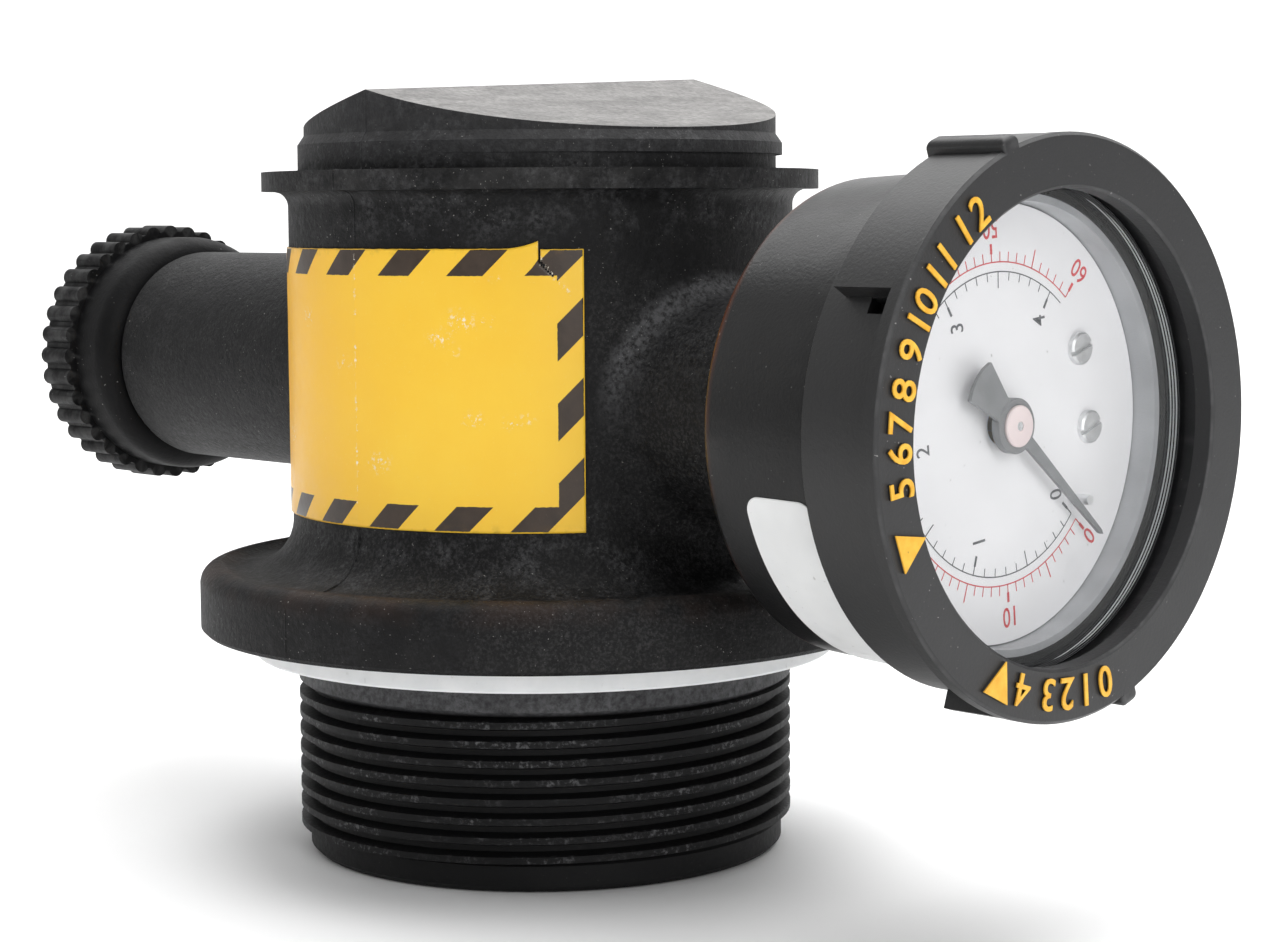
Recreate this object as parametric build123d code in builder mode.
from build123d import *
import os
from math import sin, cos, radians, degrees, atan2, pi, hypot

os.makedirs("parts", exist_ok=True)

# ---------------------------------------------------------------- driving sizes (mm)
# frame: Z is the axis of the threaded stem, z = 0 at its lower rim,
# the gauge looks along +X and the relief knob along -X
PIPE_R = 30.15          # 2 inch pipe thread, crest radius (60.3 mm outside)
PITCH = 25.4 / 11.5     # 11.5 threads per inch
ROOT_R = 28.75
RIM_R = 29.0            # plain band below the thread
STEM_BORE_R = 25.0
CHAMBER_R = 24.4
STEM_BORE_TOP = 27.0
THREAD_Z0 = 2.84
THREAD_TURNS = 8
COLLAR_Z = 20.9

FLANGE_R = 41.85
FLANGE_Z = 27.0
FLANGE_TOP = 35.0
NECK_R = 30.5
UP_FLANGE_R = 33.64
UP_FLANGE_Z = 79.6
UP_FLANGE_T = 2.35
CAP_R = 29.27
CAP_WALL_R = 28.5
CAP_Z = 86.2
RIDGE_Z = 92.28         # ridge height over the stem axis
RIDGE_TURN = 4.5        # ridge line and parting plane, degrees off the Y axis
RIDGE_TILT = 2.86       # the ridge climbs towards +Y
SCOOP_S = 60.0
SCOOP_DROP = 7.7
SCOOP_R = SCOOP_S ** 2 / (2 * SCOOP_DROP)
CHAMBER_TOP = 77.5

ZG = 54.8               # gauge axis height
ZK = 57.4               # knob axis height

# gauge
GBOSS_R, GBOSS_X = 12.6, 50.6
CASE_X0, CASE_X1 = 53.2, 77.9
CASE_R0, CASE_R1 = 25.75, 26.3
CASE_IN_R = 23.1
DIAL_X = 71.2
DIAL_R = 22.95
RECESS_X = 74.0          # step that carries the seal and the lens
LENS_X0, LENS_X1 = 74.32, 75.9
RING_BORE_R = 26.36
RING_R = 29.96
RING_WINDOW_R = 24.35
RING_X0, RING_XP, RING_X1 = 69.0, 78.4, 80.7
SKIRT_R = 27.9
ARC_R = 29.9
LUG_R = 31.2
LUG_W = 2.4
LUG_DEG = 109.5
ARC_MID_DEG = 111.0
ARC_HALF_DEG = 39.0
POINTER_DEG = 320.0     # pointer direction at zero, from +Y towards +Z

# relief valve
BOSS_R, BOSS_X = 14.25, -71.6
BOSS_BORE_R = 10.0
SEAT_X = -46.0
SEAT_HOLE_R = 6.0
KNOB_R, KNOB_ROOT_R = 17.95, 17.1
KNOB_X0, KNOB_X1 = -79.5, -86.0
RIB_R = 1.2
DISC_R = 16.3
DISC_X = -72.1
HUB_R = 9.6
SPIGOT_R = 4.0
LIFT = 4.0              # travel of the plunger over the quarter turn
PIN_X = -68.5
RIBS = 36

GAXIS = Axis((0, 0, ZG), (1, 0, 0))
KAXIS = Axis((0, 0, ZK), (1, 0, 0))
GP = Plane(origin=(0, 0, ZG), x_dir=(1, 0, 0), z_dir=(0, -1, 0))
KP = Plane(origin=(0, 0, ZK), x_dir=(1, 0, 0), z_dir=(0, -1, 0))


def gplane(x):
    """plane across the gauge axis, local x = +Y, local y = +Z"""
    return Plane(origin=(x, 0, ZG), x_dir=(0, 1, 0), z_dir=(1, 0, 0))


def kplane(x):
    """plane across the knob axis, local x = +Y, local y = +Z"""
    return Plane(origin=(x, 0, ZK), x_dir=(0, 1, 0), z_dir=(1, 0, 0))


def polar(r, deg):
    return (r * cos(radians(deg)), r * sin(radians(deg)))


SCREW_AT = (polar(15.05, 29.6), polar(14.85, 356.1))   # dial screws


def finish(builder, name):
    builder.part.label = name
    export_step(builder.part, "parts/" + name + ".step")


# ---------------------------------------------------------------- valve body
# helical ridge of the pipe thread
with BuildPart() as thread_ridge:
    with BuildLine() as coil:
        Helix(pitch=PITCH, height=PITCH * THREAD_TURNS, radius=ROOT_R, center=(0, 0, THREAD_Z0))
    with BuildSketch(Plane(origin=coil.line @ 0, x_dir=(1, 0, 0), z_dir=coil.line % 0)):
        with BuildLine():
            Polyline((-1.0, -1.08), (PIPE_R - ROOT_R, -0.38), (PIPE_R - ROOT_R, 0.38), (-1.0, 1.08), close=True)
        make_face()
    sweep(path=coil.line, is_frenet=True)
thread_turned = thread_ridge.part.rotate(Axis.Z, 135)

# cap cutters: two wide hollows that meet in the ridge
ridge_dir = Vector(-sin(radians(RIDGE_TURN)) * cos(radians(RIDGE_TILT)),
                   cos(radians(RIDGE_TURN)) * cos(radians(RIDGE_TILT)),
                   sin(radians(RIDGE_TILT)))
across_dir = Vector(cos(radians(RIDGE_TURN)), sin(radians(RIDGE_TURN)), 0)
RIDGE_PLANE = Plane(origin=(0, 0, RIDGE_Z), x_dir=across_dir, z_dir=ridge_dir * -1)

with BuildPart() as valve_body:
    # stem, flange, neck, upper flange and cap in one turned outline
    with BuildSketch(Plane.YZ):
        with BuildLine():
            Polyline((0, 0), (RIM_R - 0.6, 0), (RIM_R, 0.6), (RIM_R, 3.0), (ROOT_R, 3.3), (ROOT_R, COLLAR_Z - 1.0),
                     (PIPE_R, COLLAR_Z), (PIPE_R, FLANGE_Z), (FLANGE_R - 0.5, FLANGE_Z), (FLANGE_R, FLANGE_Z + 0.5),
                     (FLANGE_R, FLANGE_TOP - 2.2))
            ThreePointArc((FLANGE_R, FLANGE_TOP - 2.2), (FLANGE_R - 0.75, FLANGE_TOP - 0.6), (FLANGE_R - 2.4, FLANGE_TOP))
            ThreePointArc((FLANGE_R - 2.4, FLANGE_TOP), (FLANGE_R - 4.2, FLANGE_TOP - 0.75), (FLANGE_R - 5.6, FLANGE_TOP - 0.7))
            ThreePointArc((FLANGE_R - 5.6, FLANGE_TOP - 0.7), (31.9, 36.5), (NECK_R, 40.8))
            Polyline((NECK_R, 40.8), (NECK_R, UP_FLANGE_Z - 1.9))
            ThreePointArc((NECK_R, UP_FLANGE_Z - 1.9), (NECK_R + 0.5, UP_FLANGE_Z - 0.55), (NECK_R + 1.75, UP_FLANGE_Z))
            Polyline((NECK_R + 1.75, UP_FLANGE_Z), (UP_FLANGE_R, UP_FLANGE_Z), (UP_FLANGE_R, UP_FLANGE_Z + UP_FLANGE_T - 0.05),
                     (CAP_R, UP_FLANGE_Z + UP_FLANGE_T), (CAP_R, 85.1), (CAP_WALL_R, CAP_Z),
                     (CAP_WALL_R, RIDGE_Z + 4.0), (0, RIDGE_Z + 4.0), (0, 0))
        make_face()
    revolve(axis=Axis.Z)
    # hip-roofed cap
    with BuildSketch(RIDGE_PLANE.offset(-40)):
        with Locations((SCOOP_S, SCOOP_R - SCOOP_DROP), (-SCOOP_S, SCOOP_R - SCOOP_DROP)):
            Circle(SCOOP_R)
    extrude(amount=80, mode=Mode.SUBTRACT)
    # undercut below the cap's band, deepest towards the gauge and the back, flush opposite
    with BuildSketch(Plane.XY.offset(UP_FLANGE_Z + UP_FLANGE_T)):
        Circle(32.0)
        with Locations(polar(-0.55, 46.0)):
            Circle(29.05, mode=Mode.SUBTRACT)
    extrude(amount=1.75, mode=Mode.SUBTRACT)
    # gauge boss with its blend into the neck
    with BuildSketch(gplane(20)):
        Circle(GBOSS_R)
    extrude(amount=GBOSS_X - 20)
    root = valve_body.edges().filter_by(lambda e: e.bounding_box().min.X > 24 and e.bounding_box().max.X < 33
                                        and e.bounding_box().min.Z > ZG - 15 and e.bounding_box().max.Z < ZG + 15)
    fillet(root, 4.0)
    # relief boss
    with BuildSketch(kplane(-20)):
        Circle(BOSS_R)
    extrude(amount=BOSS_X + 20)
    root = valve_body.edges().filter_by(lambda e: e.bounding_box().max.X < -24 and e.bounding_box().min.X > -33
                                        and e.bounding_box().min.Z > ZK - 16 and e.bounding_box().max.Z < ZK + 16)
    fillet(root, 1.6)
    rim = valve_body.edges().filter_by(GeomType.CIRCLE).filter_by(lambda e: abs(e.center().X - BOSS_X) < 0.01)
    fillet(rim, 0.9)
    rim = valve_body.edges().filter_by(GeomType.CIRCLE).filter_by(lambda e: abs(e.center().X - GBOSS_X) < 0.01)
    fillet(rim, 0.8)
    # thread
    add(thread_turned)
    # chamber open at the bottom
    with BuildSketch(Plane.YZ):
        with BuildLine():
            Polyline((0, -1), (STEM_BORE_R + 1.0, -1), (STEM_BORE_R, 0.6), (STEM_BORE_R, STEM_BORE_TOP), (CHAMBER_R, STEM_BORE_TOP + 0.6),
                     (CHAMBER_R, CHAMBER_TOP - 8))
            ThreePointArc((CHAMBER_R, CHAMBER_TOP - 8), (22.1, CHAMBER_TOP - 2.4), (17.0, CHAMBER_TOP))
            Polyline((17.0, CHAMBER_TOP), (0, CHAMBER_TOP), (0, -1))
        make_face()
    revolve(axis=Axis.Z, mode=Mode.SUBTRACT)
    # tapped hole for the gauge stem
    with BuildSketch(gplane(15)):
        Circle(6.75)
    extrude(amount=GBOSS_X - 15 + 1, mode=Mode.SUBTRACT)
    # inlet of the relief valve, seat web and plunger bore
    with BuildSketch(kplane(-15)):
        Circle(BOSS_BORE_R)
    extrude(amount=SEAT_X + 3.5 + 15, mode=Mode.SUBTRACT)
    with BuildSketch(kplane(-15)):
        Circle(SEAT_HOLE_R)
    extrude(amount=-45, mode=Mode.SUBTRACT)
    with BuildSketch(kplane(BOSS_X - 1)):
        Circle(BOSS_BORE_R)
    extrude(amount=SEAT_X - BOSS_X + 1, mode=Mode.SUBTRACT)
    # two guide pins of the quarter-turn cam
    for side in (0, 180):
        with BuildSketch(Plane(origin=(PIN_X, 8.6 * cos(radians(side)), ZK), x_dir=(1, 0, 0),
                               z_dir=(0, cos(radians(side)), 0))):
            Circle(1.0)
        extrude(amount=3.0)
finish(valve_body, "valve_body")

with BuildPart() as stem_gasket:
    with BuildSketch(Plane.XZ):
        with BuildLine():
            Polyline((PIPE_R + 0.25, 24.0), (35.2, 24.0), (35.5, 24.3), (35.5, 26.7), (35.2, 26.98), (PIPE_R + 0.25, 26.98), close=True)
        make_face()
    revolve(axis=Axis.Z)
finish(stem_gasket, "stem_gasket")

# printed sticker wrapped round the neck
with BuildPart() as body_sticker:
    with BuildSketch(Plane.XZ):
        with BuildLine():
            Polyline((NECK_R + 0.02, 41.3), (NECK_R + 0.17, 41.3), (NECK_R + 0.17, 73.0), (NECK_R + 0.02, 73.0), close=True)
        make_face()
    revolve(axis=Axis.Z, revolution_arc=113)
body_sticker.part = body_sticker.part.rotate(Axis.Z, -145.8)
finish(body_sticker, "body_sticker")

# ---------------------------------------------------------------- relief knob and plunger
with BuildPart() as relief_knob:
    with BuildSketch(KP):
        with BuildLine():
            Polyline((-62.0, SPIGOT_R + 0.06), (-62.0, HUB_R - 0.4), (-62.4, HUB_R), (DISC_X, HUB_R), (DISC_X, DISC_R - 2.7))
            ThreePointArc((DISC_X, DISC_R - 2.7), (DISC_X - 0.85, DISC_R - 0.85), (DISC_X - 2.7, DISC_R))
            Polyline((DISC_X - 2.7, DISC_R), (KNOB_X0, DISC_R), (KNOB_X0 - 0.4, DISC_R), (KNOB_X0 - 0.4, KNOB_ROOT_R - 0.9),
                     (KNOB_X1 + 0.3, KNOB_ROOT_R - 0.9), (KNOB_X1, KNOB_ROOT_R - 1.2), (KNOB_X1, 12.6),
                     (KNOB_X1 + 1.0, 12.0), (KNOB_X1 + 1.0, 6.6), (-81.6, 6.6), (-81.6, 1.7), (-80.0, 1.7), (-80.0, SPIGOT_R + 0.06),
                     (-62.0, SPIGOT_R + 0.06))
        make_face()
    revolve(axis=KAXIS)
    # knurled rim with rounded grip ribs
    with BuildSketch(kplane(KNOB_X0)):
        Circle(KNOB_ROOT_R)
        with Locations(*[polar(KNOB_R - RIB_R, 360.0 / RIBS * i) for i in range(RIBS)]):
            Circle(RIB_R)
        Circle(14.0, mode=Mode.SUBTRACT)
    extrude(amount=KNOB_X1 + 0.45 - KNOB_X0)
    # helical cam slots for the two guide pins
    for side in (0, 180):
        for i in range(10):
            turn = 90.0 * i / 9
            ang = radians(side + turn)
            with BuildSketch(Plane(origin=(PIN_X + LIFT * turn / 90, 8.2 * cos(ang), ZK + 8.2 * sin(ang)),
                                   x_dir=(1, 0, 0), z_dir=(0, cos(ang), sin(ang)))):
                with Locations(Location((0, 0), -15)):
                    Rectangle(2.7, 2.9)
            extrude(amount=2.5, mode=Mode.SUBTRACT)
finish(relief_knob, "relief_knob")

with BuildPart() as valve_plunger:
    with BuildSketch(KP):
        with BuildLine():
            Polyline((-47.4, 0), (-47.4, 5.6), (-48.0, 6.0), (-48.0, 8.6), (-48.3, 8.9), (-51.0, 8.9), (-51.5, 8.4),
                     (-51.5, 4.6), (-60.9, 4.6), (-60.9, 6.4), (-61.9, 6.4), (-61.9, SPIGOT_R), (-79.9, SPIGOT_R),
                     (-79.9, 1.25), (-72.0, 1.25), (-71.6, 0), close=True)
        make_face()
    revolve(axis=KAXIS)
    # guide fins: air passes between them
    with BuildSketch(kplane(-51.3)):
        with Locations((0, 0)):
            Rectangle(19.2, 1.8)
            Rectangle(1.8, 19.2)
            Circle(3.0, mode=Mode.SUBTRACT)
    extrude(amount=-8.5)
finish(valve_plunger, "valve_plunger")

with BuildPart() as seat_seal:
    with BuildSketch(KP):
        with Locations((-47.05, 7.25)):
            Circle(0.93)
    revolve(axis=KAXIS)
finish(seat_seal, "seat_seal")

with BuildPart() as knob_washer:
    with BuildSketch(kplane(-81.65)):
        Circle(6.2)
        Circle(2.1, mode=Mode.SUBTRACT)
    extrude(amount=-0.8)
finish(knob_washer, "knob_washer")

with BuildPart() as knob_screw:
    with BuildSketch(KP):
        with BuildLine():
            Polyline((-72.4, 0), (-73.0, 1.2), (-82.5, 1.2), (-82.5, 3.6))
            ThreePointArc((-82.5, 3.6), (-84.1, 2.6), (-84.6, 0))
            Polyline((-84.6, 0), (-72.4, 0))
        make_face()
    revolve(axis=KAXIS)
    with BuildSketch(kplane(-85)):
        Rectangle(4.2, 0.8)
        Rectangle(0.8, 4.2)
    extrude(amount=1.4, mode=Mode.SUBTRACT)
finish(knob_screw, "knob_screw")

# ---------------------------------------------------------------- gauge shell
with BuildPart() as gauge_case:
    with BuildSketch(GP):
        with BuildLine():
            Polyline((CASE_X0, 0), (CASE_X0, CASE_R0 - 1.0))
            ThreePointArc((CASE_X0, CASE_R0 - 1.0), (CASE_X0 + 0.3, CASE_R0 - 0.3), (CASE_X0 + 1.0, CASE_R0))
            Polyline((CASE_X0 + 1.0, CASE_R0), (66.5, CASE_R1), (70.9, CASE_R1), (71.2, CASE_R1 - 0.6), (73.6, CASE_R1 - 0.6),
                     (73.9, CASE_R1), (CASE_X1 - 0.3, CASE_R1), (CASE_X1, CASE_R1 - 0.3), (CASE_X1, 25.4), (RECESS_X, 25.4),
                     (RECESS_X, CASE_IN_R), (55.0, CASE_IN_R), (55.0, 0), (CASE_X0, 0))
        make_face()
    revolve(axis=GAXIS)
    # hole for the socket
    with BuildSketch(gplane(CASE_X0 - 1)):
        Circle(6.55)
    extrude(amount=4, mode=Mode.SUBTRACT)
    # posts that carry the dial
    with BuildSketch(gplane(54.5)):
        with Locations(*SCREW_AT):
            Circle(1.7)
    extrude(amount=DIAL_X - 0.62 - 54.5)
    with BuildSketch(gplane(62)):
        with Locations(*SCREW_AT):
            Circle(1.05)
    extrude(amount=10, mode=Mode.SUBTRACT)
finish(gauge_case, "gauge_case")

with BuildPart() as case_sticker:
    with BuildSketch(GP):
        slope = (CASE_R1 - CASE_R0) / (66.5 - CASE_X0 - 1.0)
        ra = CASE_R0 + slope * (58.9 - CASE_X0 - 1.0) + 0.02
        with BuildLine():
            Polyline((58.9, ra), (58.9, ra + 0.12), (66.5, CASE_R1 + 0.14), (68.4, CASE_R1 + 0.14), (68.4, CASE_R1 + 0.02),
                     (66.5, CASE_R1 + 0.02), close=True)
        make_face()
    revolve(axis=GAXIS, revolution_arc=70)
case_sticker.part = case_sticker.part.rotate(GAXIS, 104)
finish(case_sticker, "case_sticker")

with BuildPart() as dial_plate:
    with BuildSketch(gplane(DIAL_X - 0.6)):
        Circle(DIAL_R)
        Circle(2.0, mode=Mode.SUBTRACT)
        with Locations(*SCREW_AT):
            Circle(1.1, mode=Mode.SUBTRACT)
    extrude(amount=0.6)
finish(dial_plate, "dial_plate")

with BuildPart() as dial_screws:
    for at in SCREW_AT:
        with BuildSketch(gplane(64)):
            with Locations(at):
                Circle(1.0)
        extrude(amount=DIAL_X - 64 + 0.05)
        with BuildSketch(gplane(DIAL_X + 0.02)):
            with Locations(at):
                Circle(1.75)
        extrude(amount=0.75)
        with BuildSketch(gplane(DIAL_X + 0.37)):
            with Locations(Location((at[0], at[1]), 20)):
                Rectangle(4.2, 0.5)
        extrude(amount=1.0, mode=Mode.SUBTRACT)
    chamfer(dial_screws.edges().filter_by(GeomType.CIRCLE).filter_by(lambda e: e.center().X > DIAL_X + 0.7
                                                                      and abs(e.radius - 1.75) < 0.01), 0.2)
finish(dial_screws, "dial_screws")

with BuildPart() as stop_pin:
    with BuildSketch(gplane(DIAL_X + 0.02)):
        with Locations(polar(14.8, POINTER_DEG + 4.6)):
            Circle(0.55)
    extrude(amount=2.6)
finish(stop_pin, "stop_pin")

with BuildPart() as lens_gasket:
    with BuildSketch(gplane(RECESS_X + 0.02)):
        Circle(25.3)
        Circle(23.9, mode=Mode.SUBTRACT)
    extrude(amount=0.28)
finish(lens_gasket, "lens_gasket")

with BuildPart() as lens:
    with BuildSketch(gplane(LENS_X0)):
        Circle(25.3)
    extrude(amount=LENS_X1 - LENS_X0)
    chamfer(lens.edges().filter_by(lambda e: e.center().X > LENS_X1 - 0.01), 0.25)
finish(lens, "lens")

# turnable indicator ring
with BuildPart() as indicator_ring:
    with BuildSketch(GP):
        with BuildLine():
            Polyline((RING_X0, RING_BORE_R), (RING_X0, SKIRT_R - 0.2), (RING_X0 + 0.2, SKIRT_R), (RING_XP + 0.6, SKIRT_R),
                     (RING_XP + 0.6, RING_R), (RING_X1 - 0.35, RING_R), (RING_X1, RING_R - 0.35),
                     (RING_X1, RING_WINDOW_R + 0.3), (RING_X1 - 0.3, RING_WINDOW_R), (RING_XP, RING_WINDOW_R),
                     (RING_XP, RING_BORE_R), (73.2, RING_BORE_R), (73.0, RING_BORE_R - 0.36), (71.8, RING_BORE_R - 0.36),
                     (71.6, RING_BORE_R), close=True)
        make_face()
    revolve(axis=GAXIS)
    # two raised arcs, half a turn apart
    for mid in (ARC_MID_DEG, ARC_MID_DEG + 180):
        n = 18
        pts_o = [polar(ARC_R, mid - ARC_HALF_DEG + 2 * ARC_HALF_DEG * i / n) for i in range(n + 1)]
        with BuildSketch(gplane(71.6)):
            with BuildLine():
                a0, a1 = mid - ARC_HALF_DEG, mid + ARC_HALF_DEG
                Polyline(polar(SKIRT_R - 0.5, a0), polar(ARC_R, a0))
                ThreePointArc(polar(ARC_R, a0), polar(ARC_R, mid), polar(ARC_R, a1))
                Polyline(polar(ARC_R, a1), polar(SKIRT_R - 0.5, a1))
                ThreePointArc(polar(SKIRT_R - 0.5, a1), polar(SKIRT_R - 0.5, mid), polar(SKIRT_R - 0.5, a0))
            make_face()
        extrude(amount=RING_XP + 0.7 - 71.6)
        # small latch slot beside the end of each arc
        hole = radians(mid + ARC_HALF_DEG + 1.9)
        with BuildSketch(Plane(origin=(76.3, 25 * cos(hole), ZG + 25 * sin(hole)), x_dir=(1, 0, 0),
                               z_dir=(0, cos(hole), sin(hole)))):
            Rectangle(2.4, 1.7)
        extrude(amount=5, mode=Mode.SUBTRACT)
    # two grip lugs
    for mid in (LUG_DEG, LUG_DEG + 180):
        ang = radians(mid)
        with BuildSketch(Plane(origin=(0, 28.0 * cos(ang), ZG + 28.0 * sin(ang)), x_dir=(1, 0, 0),
                               z_dir=(0, cos(ang), sin(ang)))):
            with Locations(((70.6 + RING_X1) / 2, 0)):
                RectangleRounded(RING_X1 - 70.6, LUG_W, 0.3)
        extrude(amount=LUG_R - 28.0)
    crown = indicator_ring.edges().filter_by(lambda e: abs(hypot(e.center().Y, e.center().Z - ZG) - LUG_R) < 0.35
                                             and abs(e.bounding_box().size.X) > 5)
    fillet(crown, 0.85)
    # two raised triangular marks
    for deg in (244.1, 200.9):
        tri = [polar(28.8, deg - 4.0), polar(28.8, deg + 4.0), polar(24.85, deg)]
        with BuildSketch(gplane(RING_X1 - 0.1)):
            with BuildLine():
                Polyline(*tri, close=True)
            make_face()
        extrude(amount=0.5)
finish(indicator_ring, "indicator_ring")

# ---------------------------------------------------------------- gauge works
with BuildPart() as gauge_socket:
    with BuildSketch(GP):
        with BuildLine():
            Polyline((31.0, 0), (31.0, 5.9), (31.6, 6.5), (GBOSS_X, 6.7), (GBOSS_X + 0.4, 6.2), (53.0, 6.2), (53.0, 6.5),
                     (62.5, 6.5), (62.5, 0), (31.0, 0))
        make_face()
    revolve(axis=GAXIS)
    # wrench hexagon between boss and case
    with BuildSketch(gplane(GBOSS_X + 0.5)):
        RegularPolygon(radius=7.0, side_count=6, major_radius=False)
    extrude(amount=2.0)
    # bore up to the tube's root
    with BuildSketch(gplane(30)):
        Circle(1.6)
    extrude(amount=29, mode=Mode.SUBTRACT)
    # side arm that takes the root of the tube
    with BuildSketch(gplane(56.0)):
        with Locations(Location(polar(10.7, 285), 285)):
            Rectangle(9.6, 4.0)
    extrude(amount=5.9)
    for at in (polar(4.5, 200), polar(4.5, 20)):
        with BuildSketch(gplane(59)):
            with Locations(at):
                Circle(0.85)
        extrude(amount=5, mode=Mode.SUBTRACT)
finish(gauge_socket, "gauge_socket")

TUBE_R = 14.0
with BuildPart() as bourdon_tube:
    # flattened tube, C-shaped, from the socket's arm round to its closed end
    with BuildSketch(GP):
        with Locations((59.0, TUBE_R)):
            SlotOverall(5.4, 2.2)
    revolve(axis=GAXIS, revolution_arc=219)
    with BuildSketch(GP):
        with Locations((59.0, TUBE_R)):
            SlotOverall(4.6, 1.4)
    revolve(axis=GAXIS, revolution_arc=219, mode=Mode.SUBTRACT)
bourdon_tube.part = bourdon_tube.part.rotate(GAXIS, 285 - 90 - 228)
# closed end with its flat ear
with BuildPart() as tube_end:
    end_deg = 285 - 228
    with BuildSketch(gplane(56.2)):
        with Locations(Location(polar(TUBE_R, end_deg - 4), end_deg - 4)):
            RectangleRounded(3.0, 4.2, 0.6)
    extrude(amount=5.6)
    with BuildSketch(gplane(61.0)):
        with BuildLine():
            Polyline(polar(TUBE_R + 0.8, end_deg - 8), polar(TUBE_R - 1.4, end_deg - 8), polar(10.6, end_deg - 2),
                     polar(10.6, end_deg + 6), polar(TUBE_R + 0.8, end_deg), close=True)
        make_face()
    extrude(amount=0.8)
with BuildPart() as tube_joined:
    add(bourdon_tube.part)
    add(tube_end.part)
tube_joined.part.label = "bourdon_tube"
export_step(tube_joined.part, "parts/bourdon_tube.step")

SECT_AT = polar(9.6, 20)        # pivot of the sector, seen from the gauge axis
PILLAR_AT = (polar(7.2, 110), polar(7.2, 290))
with BuildPart() as movement_base:
    with BuildSketch(gplane(62.55)):
        with BuildLine():
            Polyline((11.0, 4.9), (4.0, 8.6), (-6.0, 8.6), (-7.2, 2.0), (-7.2, -4.5), (-2.0, -8.8), (6.0, -8.8), (11.4, -1.4), close=True)
        make_face()
        Circle(0.75, mode=Mode.SUBTRACT)
        with Locations(SECT_AT):
            Circle(0.75, mode=Mode.SUBTRACT)
        with Locations(polar(4.5, 200), polar(4.5, 20)):
            Circle(0.95, mode=Mode.SUBTRACT)
    extrude(amount=0.8)
finish(movement_base, "movement_base")

with BuildPart() as movement_top:
    with BuildSketch(gplane(67.2)):
        with BuildLine():
            Polyline((11.0, 4.9), (4.0, 8.6), (-4.0, 8.6), (-4.6, 0.0), (-2.0, -8.8), (6.0, -8.8), (11.4, -1.4), close=True)
        make_face()
        Circle(0.75, mode=Mode.SUBTRACT)
        with Locations(SECT_AT):
            Circle(0.75, mode=Mode.SUBTRACT)
        with Locations(*PILLAR_AT):
            Circle(0.65, mode=Mode.SUBTRACT)
    extrude(amount=0.8)
finish(movement_top, "movement_top")

with BuildPart() as movement_pillars:
    with BuildSketch(gplane(63.37)):
        with Locations(*PILLAR_AT):
            Circle(1.2)
    extrude(amount=3.81)
finish(movement_pillars, "movement_pillars")

with BuildPart() as movement_screws:
    for at in (polar(4.5, 200), polar(4.5, 20)):
        with BuildSketch(gplane(59.6)):
            with Locations(at):
                Circle(0.8)
        extrude(amount=3.8)
        with BuildSketch(gplane(63.37)):
            with Locations(at):
                Circle(1.25)
        extrude(amount=0.6)
    for at in PILLAR_AT:
        with BuildSketch(gplane(68.02)):
            with Locations(at):
                Circle(1.2)
        extrude(amount=0.6)
finish(movement_screws, "movement_screws")

# pointer spindle with a ten-leaf pinion
with BuildPart() as pinion_arbor:
    with BuildSketch(gplane(62.6)):
        Circle(0.7)
    extrude(amount=10.9)
    with BuildSketch(gplane(73.4)):
        Circle(0.45)
    extrude(amount=0.52)
    with BuildSketch(gplane(64.3)):
        Circle(0.85)
        with Locations(*[Location(polar(0.95, 36 * i), 36 * i) for i in range(10)]):
            Rectangle(0.34, 0.26)
    extrude(amount=1.4)
finish(pinion_arbor, "pinion_arbor")

with BuildPart() as sector_gear:
    gap = degrees(atan2(-SECT_AT[1], -SECT_AT[0]))   # direction from the pivot to the pinion
    with BuildSketch(gplane(64.5)):
        with Locations(SECT_AT):
            Circle(1.9)
        with BuildLine():
            span, mid = 24, gap - 17
            px, py = SECT_AT
            pts = [(px + 7.9 * cos(radians(mid + a)), py + 7.9 * sin(radians(mid + a))) for a in range(-span, span + 1, 3)]
            Polyline((px, py + 1.2), *pts, (px, py - 1.2), close=True)
        make_face()
        with Locations(*[Location((px + 8.05 * cos(radians(mid + a * 4.5)), py + 8.05 * sin(radians(mid + a * 4.5))), mid + a * 4.5)
                         for a in range(-5, 6)]):
            Rectangle(0.55, 0.3)
        # tail that the link pulls
        tail = gap + 150
        with Locations(Location((px + 1.9 * cos(radians(tail)), py + 1.9 * sin(radians(tail))), tail)):
            Rectangle(3.75, 1.4)
        with Locations(SECT_AT):
            Circle(0.95, mode=Mode.SUBTRACT)
    extrude(amount=0.9)
finish(sector_gear, "sector_gear")

with BuildPart() as sector_arbor:
    with BuildSketch(gplane(62.6)):
        with Locations(SECT_AT):
            Circle(0.7)
    extrude(amount=5.35)
    with BuildSketch(gplane(64.5)):
        with Locations(SECT_AT):
            Circle(0.94)
    extrude(amount=0.9)
finish(sector_arbor, "sector_arbor")

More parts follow.
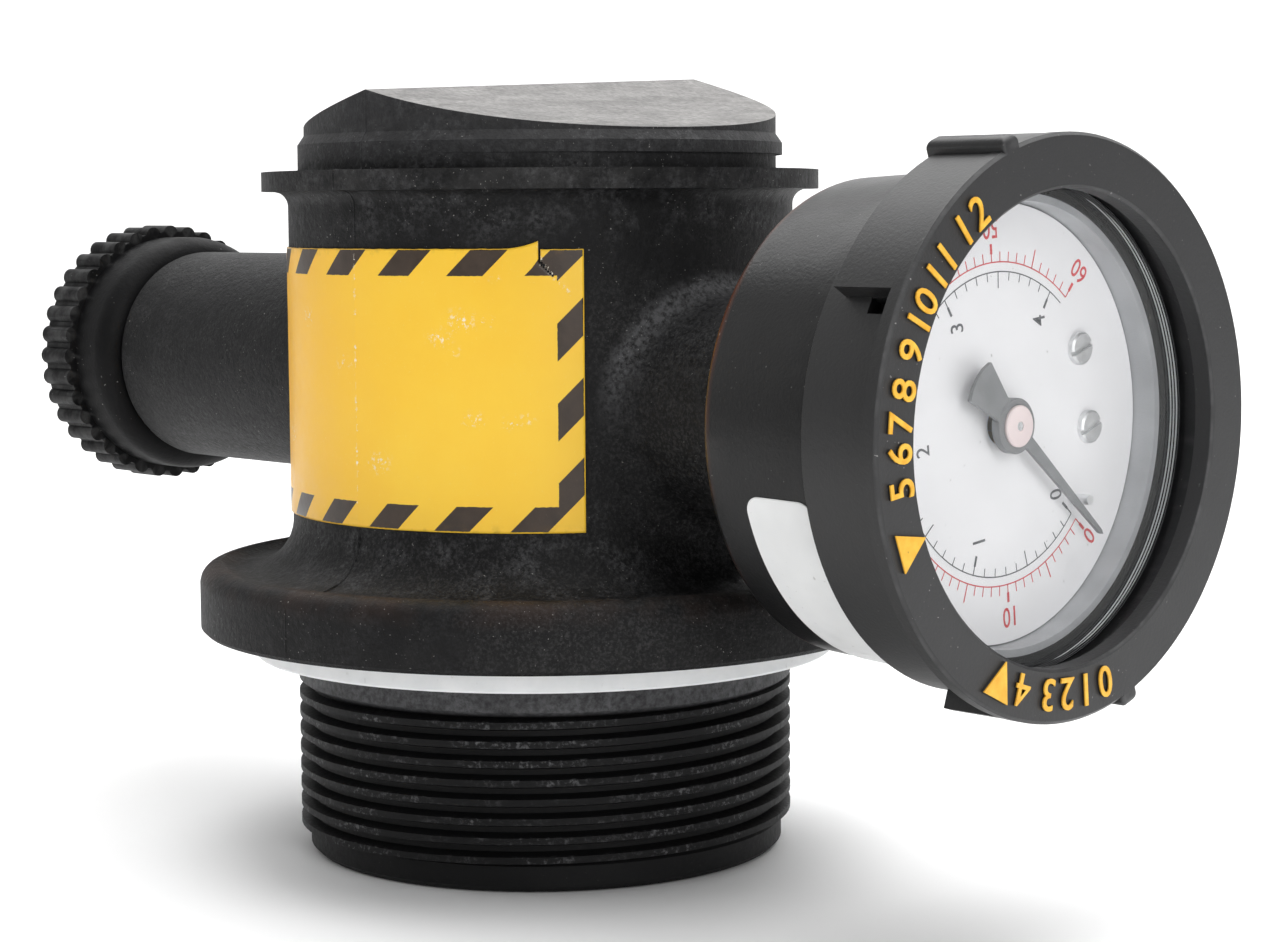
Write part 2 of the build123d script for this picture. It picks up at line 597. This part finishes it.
TAIL_AT = (px + 3.0 * cos(radians(tail)), py + 3.0 * sin(radians(tail)))
EAR_AT = polar(11.3, 285 - 228 + 2)
with BuildPart() as drive_link:
    vx, vy = EAR_AT[0] - TAIL_AT[0], EAR_AT[1] - TAIL_AT[1]
    length = hypot(vx, vy)
    ang = degrees(atan2(vy, vx))
    with BuildSketch(gplane(63.75)):
        with Locations(Location(((TAIL_AT[0] + EAR_AT[0]) / 2, (TAIL_AT[1] + EAR_AT[1]) / 2), ang)):
            SlotOverall(length + 1.8, 1.5)
    extrude(amount=0.45)
    with BuildSketch(gplane(64.1)):
        with Locations(TAIL_AT):
            Circle(0.35)
    extrude(amount=0.35)
    # pin that stands over the ear of the tube
    with BuildSketch(gplane(61.86)):
        with Locations(EAR_AT):
            Circle(0.35)
    extrude(amount=1.94)
finish(drive_link, "drive_link")

# flat spiral between the plates, free of the spindle
with BuildPart() as hairspring:
    turns, r0, r1, w = 4, 1.5, 4.2, 0.12
    n = 96
    outer = [polar(r0 + (r1 - r0) * i / n + w, 360.0 * turns * i / n) for i in range(n + 1)]
    inner = [polar(r0 + (r1 - r0) * i / n, 360.0 * turns * i / n) for i in range(n, -1, -1)]
    with BuildSketch(gplane(66.2)):
        with BuildLine():
            Polyline(*outer, *inner, close=True)
        make_face()
    extrude(amount=0.5)
finish(hairspring, "hairspring")

with BuildPart() as pointer:
    # hub
    with BuildSketch(gplane(72.4)):
        Circle(2.9)
        Circle(0.72, mode=Mode.SUBTRACT)
    extrude(amount=1.2)
    chamfer(pointer.edges().filter_by(GeomType.CIRCLE).filter_by(lambda e: abs(e.radius - 2.9) < 0.01), 0.15)
    # tapering needle and fan-shaped counterweight
    with BuildSketch(gplane(73.0)):
        with BuildLine():
            t = radians(POINTER_DEG)
            ca, sa = cos(t), sin(t)
            outline = [(1.8, 0.72), (18.9, 0.24), (19.4, 0.0), (18.9, -0.24), (1.8, -0.72)]
            Polyline(*[(a * ca - b * sa, a * sa + b * ca) for a, b in outline], close=True)
        make_face()
        with BuildLine():
            outline = [(-1.7, 1.3), (-3.2, 1.45), (-7.5, 2.5), (-7.95, 1.3), (-8.1, 0.0), (-7.95, -1.3), (-7.5, -2.5), (-3.2, -1.45), (-1.7, -1.3)]
            Polyline(*[(a * ca - b * sa, a * sa + b * ca) for a, b in outline], close=True)
        make_face()
    extrude(amount=0.45)
finish(pointer, "pointer")

with BuildPart() as pointer_cap:
    with BuildSketch(GP):
        with BuildLine():
            Polyline((73.63, 0.5), (73.63, 2.18), (73.85, 2.18), (73.97, 2.05), (73.97, 0.5), close=True)
        make_face()
    revolve(axis=GAXIS)
finish(pointer_cap, "pointer_cap")
